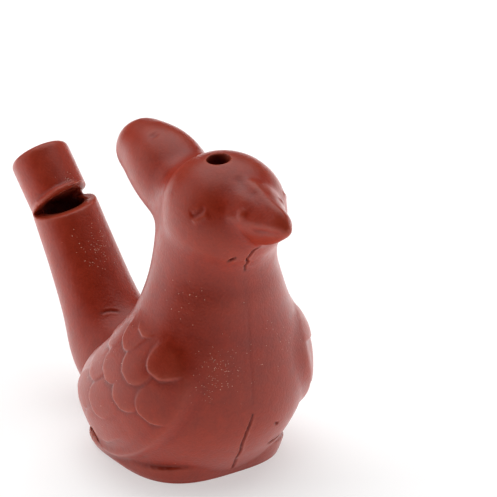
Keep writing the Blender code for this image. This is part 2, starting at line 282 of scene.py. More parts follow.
# Head: an egg shape, as centre and radii
HEAD_CENTRE = (13.9, 0.0, 55.9)
HEAD_RADII = (12.6, 12.4, 11.9)

# Crest: a thick lobe swept back from the head, as (x, z, radius)
CREST_LINE = (
    (8.0, 53.6, 8.0),
    (-1.0, 55.3, 7.9),
    (-7.0, 57.8, 7.8),
    (-11.2, 58.8, 7.0),
    (-13.8, 59.1, 6.2),
)

# Beak, as sections: x, height of its side edge, rise of the ridge, drop of the chin, half width
BEAK_SECTIONS = (
    (17.0, 60.0, 6.0, 7.5, 9.2),
    (24.0, 60.0, 5.4, 6.8, 6.5),
    (28.0, 60.0, 4.4, 6.0, 4.8),
    (31.5, 60.0, 3.8, 4.4, 3.2),
    (34.0, 60.0, 3.1, 2.7, 2.3),
    (35.6, 59.9, 1.9, 1.4, 1.3),
    (36.3, 59.9, 0.8, 0.6, 0.6),
)
BEAK_SQUARENESS = 1.6
NOSTRIL = (26.4, 3.3, 60.6)
NOSTRIL_RADIUS = 2.1

# Tail pipe, as (share of the reach, share of the rise, radius)
TAIL_LINE = (
    (0.222, 0.244, 9.2),
    (0.41, 0.268, 9.8),
    (0.51, 0.300, 10.0),
    (0.60, 0.375, 9.3),
    (0.698, 0.521, 8.05),
    (0.838, 0.748, 7.3),
    (1.0, 1.0, 6.8),
    (1.03, 1.04, 6.7),
)

# Foot: a band around the base, higher at the breast; its rings as (level, growth)
FOOT_BACK = -18.0
FOOT_FRONT = 17.3
FOOT_HALF_WIDTH = 16.8
FOOT_HEIGHT = 2.2
FOOT_RISE = 2.2
FOOT_FLARE = 1.3
FOOT_SQUARENESS = 3.0
FOOT_RINGS = ((-1.0, -0.4), (0.0, -0.3), (0.2, 0.0), (1.0, 1.0), (1.1, -1.5))

# Mouthpiece: a round stub on the end of the tail, bent a little outward, its end rounded over
MOUTH_ELEVATION = 43.0
MOUTH_RADIUS = 6.2
MOUTH_LENGTH = 10.8
MOUTH_ROOT = 5.0
MOUTH_EDGE = 1.2
MOUTH_EDGE_STEPS = 4
MOUTH_SHIFT = 1.4
MOUTH_LIFT = 0.3

# Window between tail and mouthpiece: a wedge from a hinge on the outer side
WINDOW_HINGE = (-2.7, -1.4)
WINDOW_LOW_SLOPE = 17.0
WINDOW_HIGH_SLOPE = 47.0
WINDOW_ROLL = 10.0

# Windway: the flat slot that the breath comes through
WINDWAY_HEIGHT = 1.3
WINDWAY_WIDTH = 6.0
WINDWAY_OFFSET = 2.2

# Walls of the hollow, and the hole punched in the crown
WALL = 3.0
TAIL_WALL = 2.3
FLOOR = 3.4
CROWN_HOLE = 4.7
CROWN_HOLE_AT = (14.0, -1.4)

# Wings: outline from the side as (x, z), how far they stand out and over what width, the rim
# along their edge, and the heights between which they fade into the shoulder
WING_OUTLINE = (
    (14.5, 34.0), (18.6, 31.6), (20.8, 28.0), (21.6, 23.0), (20.4, 17.8), (17.0, 12.5),
    (12.4, 8.1), (7.1, 4.6), (0.0, 1.8), (-8.0, 1.2), (-14.0, 3.4), (-18.0, 8.0),
    (-18.0, 14.0), (-13.0, 21.0), (-6.0, 28.0), (2.0, 33.5), (8.5, 35.0),
)
WING_RELIEF = 0.8
WING_RIM = 0.28
RIM_WIDTH = 0.9
SHOULDER = (22.0, 34.0)
SHOULDER_FADE = 0.8
WING_EDGE = 2.4
WING_BACK = 24.0

# Feathers, upper rows first: tip as (x, z), turn towards the tail, width, length; then how thick
# they are at the tip, over what width their edge falls off, and how steep their tip is
FEATHERS = (
    (9.6, 32.0, 22.0, 7.6, 8.5), (6.0, 28.6, 33.0, 7.6, 8.5), (-0.6, 26.4, 36.0, 7.4, 8.5),
    (15.8, 25.8, 28.0, 8.4, 9.0), (9.8, 23.6, 33.0, 8.6, 9.5), (3.2, 21.6, 38.0, 8.2, 9.5),
    (-3.6, 19.6, 44.0, 7.8, 9.5),
    (14.4, 16.8, 38.0, 9.2, 10.0), (8.2, 17.6, 36.0, 8.0, 9.5), (-1.0, 13.8, 56.0, 8.2, 10.5),
    (-8.6, 12.6, 58.0, 8.0, 10.5),
    (-4.2, 7.4, 60.0, 8.4, 14.0), (-12.6, 6.6, 66.0, 7.6, 11.0),
)
FEATHER_THICK = 0.62
FEATHER_EDGE = 0.95
FEATHER_TIP = 1.5

# Shut eyes and the line of the mouth, as (x, z) from the side; depth and width of a crease
EYE_LINE = ((17.9, 59.6), (19.0, 59.6), (19.9, 60.4), (20.5, 61.6))
MOUTH_LINE = ((29.0, 58.6), (32.0, 59.0), (34.6, 59.5), (36.2, 59.9))
CREASE_DEPTH = 0.22
CREASE_WIDTH = 0.60
LID_RISE = 0.20

tail_end = Vector((-TAIL_REACH, 0, TAIL_RISE))
mouth_angle = math.radians(MOUTH_ELEVATION)
mouth_way = Vector((-math.cos(mouth_angle), 0, math.sin(mouth_angle)))
mouth_rise = Vector((mouth_way.z, 0, -mouth_way.x))
mouth_start = tail_end + Vector((-MOUTH_SHIFT, 0, MOUTH_LIFT))
window_hinge = tail_end + Vector((WINDOW_HINGE[0], 0, WINDOW_HINGE[1]))
print("body sections:", len(BODY_SECTIONS), "feathers on a wing:", len(FEATHERS))


# %% [markdown]
# ## Helpers for round clay forms
# A clay form has no sharp joints. Each simple solid is built on its own as a loft of rings,
# the solids overlap, and a voxel remesh with some smoothing melts them into one skin, as a wet
# finger or the mould would leave it.

# %% Form helpers
def spline(rows, steps):
    """Points on a Catmull-Rom curve through the rows."""
    rows = np.array(rows, dtype=float)
    ends = np.vstack((2 * rows[0] - rows[1], rows, 2 * rows[-1] - rows[-2]))
    out = []
    for i in range(1, len(ends) - 2):
        a, b, c, d = ends[i - 1:i + 3]
        for k in range(steps):
            t = k / steps
            out.append(0.5 * (2 * b + (c - a) * t + (2 * a - 5 * b + 4 * c - d) * t ** 2
                              + (3 * b - a - 3 * c + d) * t ** 3))
    out.append(ends[-2])
    return np.array(out)


def oval(half_x, half_y, squareness=2.0, count=64):
    """Points of a superellipse in the plane."""
    power = 2 / squareness
    out = []
    for i in range(count):
        c, s = math.cos(math.tau * i / count), math.sin(math.tau * i / count)
        out.append((half_x * math.copysign(abs(c) ** power, c),
                    half_y * math.copysign(abs(s) ** power, s)))
    return out


def loft(rings):
    """A closed solid through rings of equal count, given in millimetres."""
    built = bmesh.new()
    loops = [[built.verts.new(Vector(p) * MM) for p in ring] for ring in rings]
    count = len(loops[0])
    for low, high in zip(loops, loops[1:]):
        for i in range(count):
            j = (i + 1) % count
            built.faces.new((low[i], low[j], high[j], high[i]))
    built.faces.new(loops[0][::-1])
    built.faces.new(loops[-1])
    bmesh.ops.recalc_face_normals(built, faces=built.faces)
    return built


def swept(start, way, rise, rows):
    """Round or flat rings along a straight axis: rows of (along, points in the ring's plane)."""
    side = way.cross(rise)
    return loft([[start + way * along + rise * u + side * v for u, v in ring]
                 for along, ring in rows])


def pipe(line, inset=0.0):
    """A round pipe along a line of (x, z, radius) in the plane of symmetry."""
    points = spline(line, 5)
    rings = []
    for i, (x, z, radius) in enumerate(points):
        before, after = points[max(i - 1, 0)], points[min(i + 1, len(points) - 1)]
        run = Vector((after[0] - before[0], 0, after[1] - before[1])).normalized()
        rise = Vector((-run.z, 0, run.x))
        rings.append([Vector((x, 0, z)) + rise * u + Vector((0, v, 0))
                      for u, v in oval(radius - inset, radius - inset, 2, 48)])
    return loft(rings)


def ball(centre, radii):
    """An egg shape by its centre and radii."""
    built = bmesh.new()
    size = Matrix.Diagonal(Vector(radii) * MM).to_4x4()
    bmesh.ops.create_uvsphere(built, u_segments=48, v_segments=32, radius=1,
                              matrix=Matrix.Translation(Vector(centre) * MM) @ size)
    return built


# %% Object helpers
def joined(name, parts):
    """One mesh object that holds all the shapes, overlapping."""
    mesh = bpy.data.meshes.new(name)
    whole = bmesh.new()
    for part in parts:
        part.to_mesh(mesh)
        whole.from_mesh(mesh)
        part.free()
    whole.to_mesh(mesh)
    whole.free()
    made = bpy.data.objects.new(name, mesh)
    bpy.context.scene.collection.objects.link(made)
    return made


def applied(item):
    """Replace an object's mesh by the result of its modifiers."""
    bpy.context.view_layer.update()
    graph = bpy.context.evaluated_depsgraph_get()
    mesh = bpy.data.meshes.new_from_object(item.evaluated_get(graph))
    item.modifiers.clear()
    old, item.data = item.data, mesh
    bpy.data.meshes.remove(old)
    return item


def melted(item, voxel, rounds):
    """One closed skin over overlapping shapes, softened."""
    remesh = item.modifiers.new("Skin", "REMESH")
    remesh.mode = "VOXEL"
    remesh.voxel_size = voxel * MM
    smooth = item.modifiers.new("Soften", "SMOOTH")
    smooth.factor = 0.5
    smooth.iterations = rounds
    return applied(item)


def thinned(item, triangles):
    """Bring the mesh down to a count of triangles."""
    now = sum(len(face.vertices) - 2 for face in item.data.polygons)
    fewer = item.modifiers.new("Fewer", "DECIMATE")
    fewer.ratio = min(1.0, triangles / now)
    return applied(item)


def carved(item, cutter):
    """Cut one object with another, which is used up."""
    cut = item.modifiers.new(cutter.name, "BOOLEAN")
    cut.operation = "DIFFERENCE"
    cut.solver = "MANIFOLD"
    cut.object = cutter
    applied(item)
    bpy.data.objects.remove(cutter)
    return item


# %% [markdown]
# ## Body, head, crest and tail
# The main form is melted at a coarse grain and smoothed well, because these joints are the
# softest on the bird. The same function, drawn in by the wall, gives the hollow inside.

# %% Main form
SKIN_VOXEL = 0.6
SKIN_SMOOTH = 40


def body(inset=0.0):
    """Belly, breast and neck; the hollow starts at the floor."""
    rings = []
    for z, rear, front, share in spline(BODY_SECTIONS, 4):
        if inset > 0 and z < FLOOR:
            continue
        middle, half = (rear + front) / 2, share * BODY_WIDTH / 2
        rings.append([(middle + x, y, z) for x, y in
                      oval((front - rear) / 2 - inset, half - inset, BODY_SQUARENESS)])
    return loft(rings)


def beak():
    """A beak with a ridge on top and an edge along each side."""
    rings = []
    for x, z, ridge, chin, half in spline(BEAK_SECTIONS, 3):
        rings.append([(x, a, z + (b * ridge if b > 0 else b * chin))
                      for a, b in oval(half, 1.0, BEAK_SQUARENESS, 32)])
    return loft(rings)


def form(name, inset=0.0, tail_inset=0.0):
    """The bird's main form, or its hollow when drawn in by a wall."""
    end_x, end_z, end_radius = CREST_LINE[-1]
    tail = [(-TAIL_REACH * x, TAIL_RISE * z, radius) for x, z, radius in TAIL_LINE]
    parts = [body(inset), ball(HEAD_CENTRE, [radius - inset for radius in HEAD_RADII]),
             pipe(CREST_LINE, inset), ball((end_x, 0, end_z), [end_radius - inset] * 3),
             pipe(tail, tail_inset)]
    if inset == 0:
        parts.append(beak())
    return melted(joined(name, parts), SKIN_VOXEL, SKIN_SMOOTH)


skin = form("clay_skin")
print("main form faces:", len(skin.data.polygons))

# %% [markdown]
# ## Valleys filled with clay
# Head, crest and neck flow into each other on the real bird, while overlapping balls leave a
# crease where they meet. More smoothing would wipe out the beak as well. So only the places near
# two centres are treated, and there a point may move outwards, towards the mean of its
# neighbours, but never inwards: that fills the valleys and leaves the hills. Reading and writing
# all points at once as arrays keeps this fast.

# %% Mesh numbers
def edge_ends(mesh):
    """The two vertex numbers of every edge."""
    flat = np.empty(len(mesh.edges) * 2, dtype=np.int32)
    mesh.edges.foreach_get("vertices", flat)
    return flat.reshape(-1, 2).T


def spread(values, ends, rounds):
    """Average each vertex's value with its neighbours'."""
    a, b = ends
    count = np.bincount(a, minlength=len(values)) + np.bincount(b, minlength=len(values))
    for _ in range(rounds):
        total = np.bincount(a, values[b], len(values)) + np.bincount(b, values[a], len(values))
        values = 0.5 * values + 0.5 * total / np.maximum(count, 1)
    return values


def vectors(mesh, name):
    """A property of the vertices as rows of three."""
    flat = np.empty(len(mesh.vertices) * 3)
    mesh.vertices.foreach_get(name, flat)
    return flat.reshape(-1, 3)


def smooth_step(value):
    """Nothing up to 0, one from 1 on, and a soft rise between."""
    value = np.clip(value, 0.0, 1.0)
    return value * value * (3 - 2 * value)


# %% Fill the valleys
FILLETS = (
    # centre, reach, rounds
    ((3.5, 0.0, 56.0), (10.0, 15.0, 14.0), 130),
    ((14.0, 0.0, 47.5), (15.0, 15.0, 8.0), 110),
)
FILLET_SPREAD = 4
FILLET_FADE = 1.4


def filleted(item, centre, reach, rounds):
    """Fill the valleys near a place with clay: points move outwards only."""
    mesh = item.data
    ends = edge_ends(mesh)
    for _ in range(rounds):
        spots, normals = vectors(mesh, "co") / MM, vectors(mesh, "normal")
        share = smooth_step(FILLET_FADE - np.sqrt((((spots - centre) / reach) ** 2).sum(axis=1)))
        mean = np.stack([spread(spots[:, k], ends, FILLET_SPREAD) for k in range(3)], axis=1)
        rise = np.maximum(((mean - spots) * normals).sum(axis=1), 0) * share
        mesh.vertices.foreach_set("co", ((spots + normals * rise[:, None]) * MM).ravel())
        mesh.update()


before = vectors(skin.data, "co")
for centre, reach, rounds in FILLETS:
    filleted(skin, centre, reach, rounds)
raised_by = np.abs(vectors(skin.data, "co") - before).max() / MM
print("valleys filled by up to, in mm:", round(float(raised_by), 1))

# %% [markdown]
# ## Foot, beak, nostrils and mouthpiece
# The foot is the low band that the mould leaves around the base. The mouthpiece is a round stub
# that was luted on the end of the tail. Both are real additions to the form, so they go in
# before the fine skin closes over everything.

# %% Foot, nostrils, mouthpiece
def foot():
    """The band around the base, its top edge rising to the breast."""
    middle, half = (FOOT_FRONT + FOOT_BACK) / 2, (FOOT_FRONT - FOOT_BACK) / 2
    rings = []
    for level, grow in FOOT_RINGS:
        ring = []
        for x, y in oval(1.0, 1.0, FOOT_SQUARENESS):
            rise = max(x, 0.0) ** 2
            top = FOOT_HEIGHT + FOOT_RISE * rise
            out = grow * FOOT_FLARE * (rise if grow == 1.0 else 1.0)
            ring.append((middle + x * (half + out), y * (FOOT_HALF_WIDTH + out), level * top))
        rings.append(ring)
    return loft(rings)


def mouthpiece():
    """A stub with its blowing end rounded over."""
    rows = [(-MOUTH_ROOT, MOUTH_RADIUS - 0.5), (0.0, MOUTH_RADIUS)]
    for i in range(MOUTH_EDGE_STEPS + 1):
        turn = math.radians(90 * i / MOUTH_EDGE_STEPS)
        rows.append((MOUTH_LENGTH - MOUTH_EDGE * (1 - math.sin(turn)),
                     MOUTH_RADIUS - MOUTH_EDGE * (1 - math.cos(turn))))
    return swept(mouth_start, mouth_way, mouth_rise,
                 [(along, oval(radius, radius, 2, 48)) for along, radius in rows])


def merged(target, item):
    """Take another object's mesh into the target's."""
    whole = bmesh.new()
    whole.from_mesh(target.data)
    whole.from_mesh(item.data)
    whole.to_mesh(target.data)
    whole.free()
    bpy.data.objects.remove(item)
    return target


nostril_x, nostril_y, nostril_z = NOSTRIL
nostrils = [ball((nostril_x, side * nostril_y, nostril_z), [NOSTRIL_RADIUS] * 3)
            for side in (-1, 1)]
merged(skin, joined("additions", [foot(), beak(), mouthpiece()] + nostrils))

# %% [markdown]
# ## One fine skin, with the window cut
# Everything is melted again at a fine grain. The whistle's window is a wedge between the tail
# and the mouthpiece, cut by hand and so a little askew. Some smoothing after the cut wipes its
# edges round.

# %% Fine skin and window
RELIEF_VOXEL = 0.27
RELIEF_SMOOTH = 9


def window():
    """The wedge that opens the whistle, rolled a little."""
    reach = 4 * MOUTH_RADIUS
    low, high = math.radians(WINDOW_LOW_SLOPE), math.radians(WINDOW_HIGH_SLOPE)
    side = [Vector((0, 0, 0)), Vector((math.cos(low), 0, math.sin(low))) * reach,
            Vector((math.cos(high), 0, math.sin(high))) * reach]
    roll = Matrix.Rotation(math.radians(WINDOW_ROLL), 3, "X")
    return loft([[window_hinge + roll @ (p + Vector((0, y, 0))) for p in side]
                 for y in (-2 * MOUTH_RADIUS, 2 * MOUTH_RADIUS)])


melted(skin, RELIEF_VOXEL, 0)
carved(skin, joined("window", [window()]))
melted(skin, RELIEF_VOXEL, RELIEF_SMOOTH)
print("fine skin faces:", len(skin.data.polygons))

# %% [markdown]
# ## Wings, feathers and face
# In the mould each wing is a raised field with a soft front edge, and its feathers are scales
# that overlap like roof tiles: thickest at the tip, and sunk in under the row above. Such low
# relief is a height over the surface, so every point of the skin moves along its own normal by
# a height read from where it lies in the side view.

# %% Relief helpers
def from_line(points, line):
    """Distance of each point from a line, and in the plane its side: plus above the line."""
    nearest = np.full(len(points), np.inf)
    side = np.zeros(len(points))
    for start, end in zip(line, line[1:]):
        run = end - start
        share = np.clip(((points - start) @ run) / (run @ run), 0, 1)
        off = points - start - share[:, None] * run
        distance = np.sqrt((off ** 2).sum(axis=1))
        nearer = distance < nearest
        nearest[nearer] = distance[nearer]
        if points.shape[1] == 2:
            side[nearer] = np.sign(run[0] * off[:, 1] - run[1] * off[:, 0])[nearer]
    return nearest, side


# %% Wings and feathers
# The relief starts where a normal turns this far to the side; a line fades over this share
FLANK_START, FLANK_WIDTH = 0.15, 0.25
LINE_FADE = 0.22


def wing_height(points):
    """Raised ground of the wing, soft along its edge, with its scale feathers."""
    outline = spline(WING_OUTLINE + WING_OUTLINE[:1], 3)
    away, _ = from_line(points, outline)
    inside = np.zeros(len(points), dtype=bool)
    for start, end in zip(outline, outline[1:]):
        crosses = (start[1] > points[:, 1]) != (end[1] > points[:, 1])
        rise = end[1] - start[1] if end[1] != start[1] else 1.0
        at = start[0] + (points[:, 1] - start[1]) * (end[0] - start[0]) / rise
        inside ^= crosses & (points[:, 0] < at)
    signed = np.where(inside, away, -away)
    raised = (WING_RELIEF * smooth_step((signed + WING_EDGE / 2) / WING_EDGE)
              + WING_RIM * np.exp(-((signed - WING_EDGE / 2) / RIM_WIDTH) ** 2))
    low, high = SHOULDER
    raised *= 1 - SHOULDER_FADE * smooth_step((points[:, 1] - low) / (high - low))
    return raised + feather_height(points) * smooth_step(signed / WING_EDGE - 0.2)


def feather_height(points):
    """Scale feathers: each is thickest at its tip and sinks in under the row above."""
    height = np.zeros(len(points))
    for x, z, lean, width, length in FEATHERS:
        turn = math.radians(lean)
        down = np.array((-math.sin(turn), -math.cos(turn)))
        off = points - (x, z)
        along, aside = -(off @ down), np.abs(off @ (-down[1], down[0]))
        round_end = np.clip(1 - 2 * along / width, 0, 1)
        edge = width / 2 * np.sqrt(1 - round_end ** 2) - aside
        edge = np.minimum(edge, along * FEATHER_TIP)
        fall = np.clip(1 - along / length, 0, 1)
        height = np.maximum(height, FEATHER_THICK * fall * smooth_step(edge / FEATHER_EDGE))
    return height


def fading(points, line):
    """One along the middle of a line and nothing at its ends."""
    run = line[-1] - line[0]
    share = (points - line[0]) @ run / (run @ run)
    return smooth_step((0.5 - np.abs(share - 0.5)) / LINE_FADE)


def crease(points, line, width=CREASE_WIDTH, lid=0.0):
    """A pressed line, with a roll of clay along its lower side."""
    laid = spline(line, 5)
    away, side = from_line(points, laid)
    roll = np.exp(-((away * -side - 2 * width) / width) ** 2)
    return fading(points, laid) * (lid * roll - CREASE_DEPTH * np.exp(-(away / width) ** 2))


def pressed(mesh):
    """Raise wings and feathers and press in the creases, along each point's normal."""
    spots, normals = vectors(mesh, "co") / MM, vectors(mesh, "normal")
    from_side = spots[:, (0, 2)]
    flank = smooth_step((np.abs(normals[:, 1]) - FLANK_START) / FLANK_WIDTH)
    chin = HEAD_CENTRE[2] - HEAD_RADII[2]
    off_tail = smooth_step((spots[:, 0] + WING_BACK) / WING_EDGE)
    wing = wing_height(from_side)
    face = crease(from_side, EYE_LINE, CREASE_WIDTH, LID_RISE) + crease(from_side, MOUTH_LINE)
    height = np.where(spots[:, 2] < chin, wing * off_tail, face) * flank
    mesh.vertices.foreach_set("co", ((spots + normals * height[:, None]) * MM).ravel())
    mesh.update()
    return height


relief = pressed(skin.data)
print("relief in mm:", round(float(relief.min()), 2), "to", round(float(relief.max()), 2))

# %% [markdown]
# ## Marks of the making
# The photographed bird is not perfect. The seam of the mould runs down the breast and opens
# into a crack over the foot, the throat has a crack and a pit, a slit stays open where the belly
# was luted to the foot, and the tail has a short crease. Each mark is a line laid on the
# surface, with a width, a depth and a lip of pushed-up clay, and it fades at both ends. A depth
# below zero makes a ridge.

# %% Marks
MARKS = (
    # name, line, width, depth, lip
    ("throat_crack", ((26.3, 0.0, 53.0), (25.8, -1.1, 52.4), (25.2, -1.6, 51.2),
                      (24.5, -1.9, 50.2), (23.8, -1.3, 49.3), (23.3, -1.5, 48.2),
                      (22.4, -1.0, 46.9)), 0.17, 0.70, 0.10),
    ("throat_pit", ((23.4, -5.3, 50.2), (24.3, -4.4, 51.0)), 0.28, 0.70, 0.08),
    ("belly_pit", ((23.4, 5.6, 12.2), (22.9, 6.5, 11.7)), 0.30, 0.35, 0.0),
    ("seam", ((22.3, -0.3, 42.3), (22.8, -0.4, 38.2), (23.4, -0.6, 32.0), (24.3, -0.7, 25.9),
              (24.9, -0.6, 19.6), (24.8, -0.6, 16.5)), 0.40, 0.04, 0.0),
    ("breast_crack", ((24.8, -0.6, 16.5), (24.5, -1.1, 14.3), (23.9, -1.6, 12.3),
                      (22.7, -1.8, 9.4), (21.5, -1.4, 7.2), (20.1, -1.4, 5.1)), 0.18, 0.80, 0.10),
    ("foot_crack", ((20.1, -1.4, 5.1), (19.0, -0.9, 3.4), (18.6, -0.7, 1.0)), 0.20, 0.45, 0.0),
    ("foot_slit", ((20.3, 6.5, 6.2), (19.7, 7.9, 6.1), (18.9, 9.6, 6.2)), 0.40, 1.10, 0.10),
    ("tail_crease", ((-23.7, -4.7, 20.2), (-22.8, -3.1, 20.6), (-21.7, -1.5, 20.4)),
     0.30, 0.16, 0.05),
    ("crest_dent", ((-7.9, -2.4, 65.1), (-7.0, -2.6, 64.8), (-6.0, -2.3, 64.9)), 0.90, 0.22, 0.0),
    ("brow_groove", ((19.6, -1.2, 65.8), (21.3, -1.3, 65.2), (24.0, -1.5, 64.5),
                     (26.4, -1.4, 64.0), (27.6, -1.5, 63.8)), 1.00, 0.22, 0.06),
    ("brow_ridge", ((21.0, 0.9, 65.9), (25.8, -0.1, 64.9), (29.7, -0.4, 63.9),
                    (34.8, -0.3, 62.0)), 0.90, -0.14, 0.0),
)


def marked(mesh):
    """Press every mark into the skin. Returns each mark's line as it lies on the surface."""
    spots, normals = vectors(mesh, "co") / MM, vectors(mesh, "normal")
    tree = BVHTree.FromPolygons(spots.tolist(), [p.vertices[:] for p in mesh.polygons])
    height = np.zeros(len(spots))
    laid = {}
    for name, line, width, depth, lip in MARKS:
        points = np.array([tree.find_nearest(Vector(point))[0] for point in spline(line, 4)])
        near = (np.abs(spots - points.mean(axis=0)).max(axis=1)
                < np.abs(points - points.mean(axis=0)).max() + 4 * width)
        away, _ = from_line(spots[near], points)
        height[near] += fading(spots[near], points) * (
            lip * np.exp(-((away - 2 * width) / width) ** 2) - depth * np.exp(-(away / width) ** 2))
        laid[name] = points
    mesh.vertices.foreach_set("co", ((spots + normals * height[:, None]) * MM).ravel())
    mesh.update()
    return laid


mark_lines = marked(skin.data)
print("marks laid:", len(mark_lines))

# %% [markdown]
# ## Hollow, crown hole and windway
# The skin is brought down to a lighter mesh, which keeps the relief, and is then cut: the hollow
# with its bore in the tail, the hole in the crown for the water, the flat windway, which opens
# wider towards the window, and the ground that makes the foot flat.

# %% Cut the openings
OUTER_TRIANGLES = 165000
INNER_TRIANGLES = 12000
# The windway's flare, as (along, half height, half width), and its rounding at the lips' end
SLOT_SQUARENESS = 4.0
SLOT_LIP = 0.8
WINDWAY_FLARE = ((-5.2, 1.9, 3.9), (-3.0, 1.35, 3.7), (-1.2, 0.75, 3.2), (0.6, 0.65, 3.0))
# The crown hole's edge, as (height over the crown, growth of the radius)
CROWN_LIP = ((-2 * WALL, 0.0), (-0.7, 0.0), (-0.25, 0.12), (0.1, 0.35), (2.0, 0.9))


def windway():
    """The slot along the mouthpiece, flared at the window."""
    half_high, half_wide = WINDWAY_HEIGHT / 2, WINDWAY_WIDTH / 2
    rows = WINDWAY_FLARE + ((MOUTH_LENGTH - SLOT_LIP, half_high, half_wide),
                            (MOUTH_LENGTH + 1.0, half_high + 0.5, half_wide + 0.6))
    rows = [(along, oval(high, wide, SLOT_SQUARENESS, 32)) for along, high, wide in rows]
    return swept(mouth_start + mouth_rise * WINDWAY_OFFSET, mouth_way, mouth_rise, rows)


def crown_hole():
    """The hole punched down through the crown, its lip worn a little wider."""
    x, y = CROWN_HOLE_AT
    top = HEAD_CENTRE[2] + HEAD_RADII[2]
    return loft([[(x + a, y + b, top + level) for a, b in
                  oval(CROWN_HOLE / 2 + grow, CROWN_HOLE / 2 + grow, 2, 48)]
                 for level, grow in CROWN_LIP])


def ground():
    """Everything below the table's top."""
    return loft([[(x, y, z) for x, y in ((-60, -40), (60, -40), (60, 40), (-60, 40))]
                 for z in (-20.0, 0.0)])


thinned(skin, OUTER_TRIANGLES)
carved(skin, thinned(form("hollow", WALL, TAIL_WALL), INNER_TRIANGLES))
for cutter_name, cutter in (("crown_hole", crown_hole()), ("windway", windway()),
                            ("ground", ground())):
    carved(skin, joined(cutter_name, [cutter]))
for face in skin.data.polygons:
    face.use_smooth = True
print("skin triangles:", sum(len(f.vertices) - 2 for f in skin.data.polygons))

# %% [markdown]
# ## Worn edges, painted light and shade, and grains
# The finish differs with the shape: proud edges are painted paler, partly as rubbed wear and partly
# as painted highlight; hollows are painted darker as shade; cracks, pits, the slit, the tail crease
# and the seam get painted shade; and some places carry pale grains. Each of these is one number at
# every vertex, read by the material.

# %% Wear, painted light and painted shade attributes
def ridges(mesh, rounds):
    """How far each vertex stands out of its neighbourhood, in mm: plus on ridges."""
    spots, normals, ends = vectors(mesh, "co") / MM, vectors(mesh, "normal"), edge_ends(mesh)
    mean = np.stack([spread(spots[:, k], ends, rounds) for k in range(3)], axis=1)
    return ((spots - mean) * normals).sum(axis=1)


def attribute(mesh, name, values):
    """Keep one number for each vertex, for the material to read."""
    layer = mesh.attributes.new(name, "FLOAT", "POINT")
    layer.data.foreach_set("value", values.astype(np.float32))


RIDGE_ROUNDS, RIDGE_FULL = 10, 0.12
CRACK_SHADES = (
    # mark, width, strength of the painted shade
    ("throat_crack", 0.20, 0.95), ("throat_pit", 0.28, 1.0), ("belly_pit", 0.3, 0.6),
    ("breast_crack", 0.22, 0.95), ("foot_crack", 0.22, 0.6), ("foot_slit", 0.45, 1.0),
    ("tail_crease", 0.30, 0.25), ("seam", 0.5, 0.06),
)
GRAIN_SPOTS = (
    # centre, radius, grains for each square millimetre
    ((23.3, -7.2, 27.4), 3.6, 2.6), ((22.9, -9.6, 24.2), 2.6, 1.8), ((-32.4, 0.2, 31.0), 3.2, 2.4),
    ((-30.9, -1.0, 29.3), 2.4, 1.6), ((-43.2, 1.2, 40.8), 1.8, 3.2), ((-43.6, 1.6, 39.6), 1.4, 2.2),
    ((18.0, -10.7, 41.2), 3.0, 0.8), ((24.6, 4.0, 30.0), 6.0, 0.25),
    ((0.0, -20.0, 20.0), 12.0, 0.10),
)
clay_mesh = skin.data
ends = edge_ends(clay_mesh)
spots = vectors(clay_mesh, "co") / MM
# The ridge number makes proud edges paler, partly as rubbed wear and partly as painted highlight,
# and hollows darker as painted shade.
ridge = spread(ridges(clay_mesh, RIDGE_ROUNDS), ends, 2)
attribute(clay_mesh, "ridge", np.clip(ridge / RIDGE_FULL, -1, 1))
# Painted shade along the cracks, pits, slit, tail crease and seam.
cracks = np.zeros(len(spots))
for mark_name, width, share in CRACK_SHADES:
    away, _ = from_line(spots, mark_lines[mark_name])
    cracks = np.maximum(cracks, share * np.exp(-(away / width) ** 2))
attribute(clay_mesh, "crack", cracks)
grains = np.zeros(len(spots))
for centre, radius, amount in GRAIN_SPOTS:
    away = np.sqrt(((spots - centre) ** 2).sum(axis=1))
    grains = np.maximum(grains, amount * np.exp(-(away / radius) ** 2))
attribute(clay_mesh, "grains", grains)
print("ridge in mm:", round(float(ridge.min()), 3), "to", round(float(ridge.max()), 3))

# %% [markdown]
# ## Fired red clay
# Earthenware is not one flat red. The body is a deep brick red in soft clouds, and the surface has
# a weak satin sheen with a fine grain in it. Its hollows are painted darker as shade, cracks and
# pits darker still as painted shade, and proud edges paler, partly as rubbed wear and partly as
# painted highlight. The pale look of the lit sides comes from that sheen, not from the colour.

# %% Clay material
DEEP_RED, BRICK_RED = (0.165, 0.0100, 0.0020, 1), (0.245, 0.0180, 0.0045, 1)
# Colour for hollows: painted shade.
# Paler colour for proud edges: partly rubbed wear, partly painted highlight.
WEAR_AND_HIGHLIGHT, PAINTED_HOLLOW_SHADE = (0.31, 0.055, 0.028, 1), (0.100, 0.0070, 0.0020, 1)
# Colour of the painted shade in cracks, pits and slits.
CRACK_SHADE_COLOUR = (0.030, 0.005, 0.003, 1)
CLOUD_SCALE, MOTTLE_SCALE, GRAIN_SCALE = 70.0, 450.0, 2200.0
ROUGHNESS, SHEEN = 0.40, 0.22
BUMP_HEIGHT = 0.00010


def read_attribute(tree, name):
    """The number that a vertex attribute holds."""
    return make_node(tree, "ShaderNodeAttribute", {"attribute_name": name}, output=2)


def blend_colours(tree, share, low, high):
    """One colour where the share is 0 and the other where it is 1."""
    return make_node(tree, "ShaderNodeMix", {"data_type": "RGBA"}, output=2,
                     Factor=share, i6=low, i7=high)


